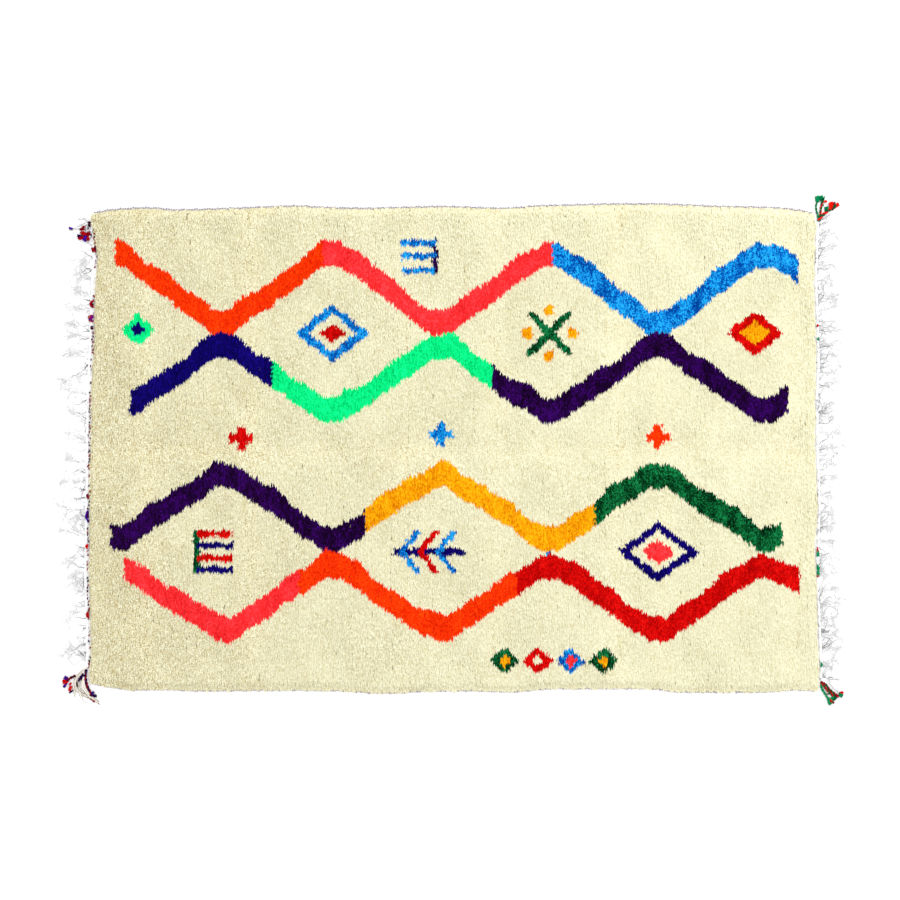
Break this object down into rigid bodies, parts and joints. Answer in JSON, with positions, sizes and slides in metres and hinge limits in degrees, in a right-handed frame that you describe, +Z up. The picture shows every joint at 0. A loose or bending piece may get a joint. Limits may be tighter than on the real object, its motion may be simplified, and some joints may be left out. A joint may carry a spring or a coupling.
{
  "type": "azilal rug",
  "caption": "Hand-knotted wool pile rug lying flat, with overcast sides, knotted warp fringe, twined end cords and corner tassels.",
  "frame": {"origin": "on the floor, under the middle of the rug with its fringe and tassels", "axes": "+X along the warps, towards the end with the finer fringe; +Y across the warps; +Z up, out of the pile"},
  "size_m": [2.6068, 1.6932, 0.0178],
  "materials": {
    "ivory_pile": "thick matt wool pile, warm ivory",
    "orange_pile": "matt wool pile, vivid orange",
    "coral_pile": "matt wool pile, coral red",
    "azure_pile": "matt wool pile, speckled azure",
    "navy_pile": "matt wool pile, deep blue",
    "spring_green_pile": "matt wool pile, bright green",
    "violet_pile": "matt wool pile, dark violet",
    "amber_pile": "matt wool pile, amber yellow",
    "forest_green_pile": "matt wool pile, dark green",
    "red_pile": "matt wool pile, strong red",
    "foundation": "plain-woven ground with knot backs, undyed",
    "grey_selvedge": "overcast wool edge, lavender grey",
    "white_warp": "plied cotton warp ends, white",
    "red_violet_twine": "twined wool cord in red and violet",
    "green_red_twine": "twined wool cord in green and red"
  },
  "bodies": {
    "root": {"knotted_field": "ivory_pile", "selvedge_back": "grey_selvedge", "selvedge_front": "grey_selvedge", "fringe_left": "white_warp", "fringe_right": "white_warp", "twine_left": "red_violet_twine", "twine_right": "green_red_twine", "tassel_back_left": "red_violet_twine", "tassel_front_left": "red_violet_twine", "tassel_back_right": "green_red_twine", "tassel_front_right": "green_red_twine"}
  },
  "joints": []
}
